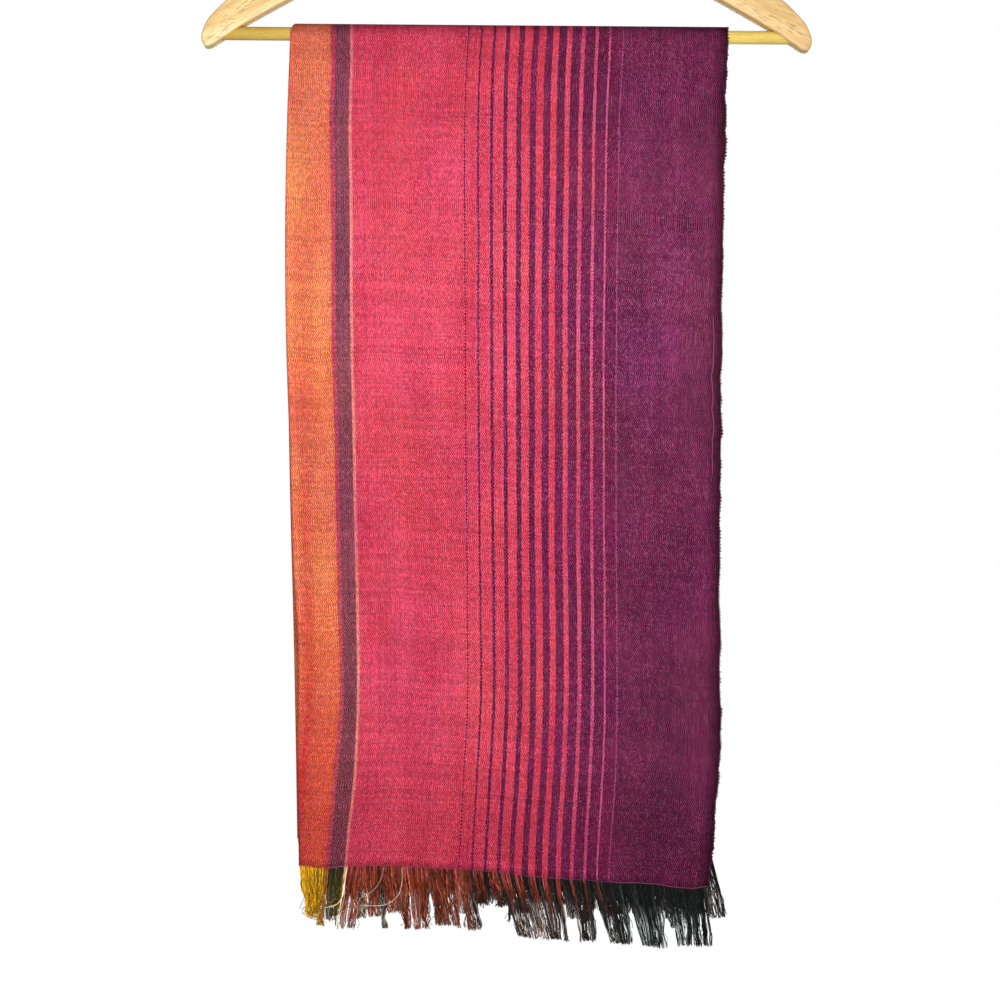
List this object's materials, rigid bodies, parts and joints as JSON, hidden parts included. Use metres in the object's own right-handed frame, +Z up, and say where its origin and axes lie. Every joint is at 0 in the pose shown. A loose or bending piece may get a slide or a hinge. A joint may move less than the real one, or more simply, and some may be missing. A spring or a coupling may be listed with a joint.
{
  "type": "shawl on wooden hanger",
  "caption": "Striped hand-woven shawl with fringed ends, folded in half along its length and draped over the bar of a flat wooden hanger with a wire hook.",
  "frame": {"origin": "the inner top of the wire hook, where a clothes rail carries the hanger", "axes": "+X to the right seen from the front, +Y away from the viewer of the front, +Z up"},
  "size_m": [0.4448, 0.0285, 0.8525],
  "materials": {
    "shawl_weave": "matt plain weave, stripes along the cloth",
    "fringe_threads": "matt loose warp threads",
    "hanger_wood": "satin clear varnish",
    "hook_steel": "satin wire"
  },
  "bodies": {
    "root": {"shawl_front": "shawl_weave", "shawl_over_bar": "shawl_weave", "shawl_back": "shawl_weave", "fringe_front": "fringe_threads", "fringe_back": "fringe_threads", "hanger_shoulders": "hanger_wood", "hanger_bar": "hanger_wood", "hanger_hook": "hook_steel"}
  },
  "joints": []
}
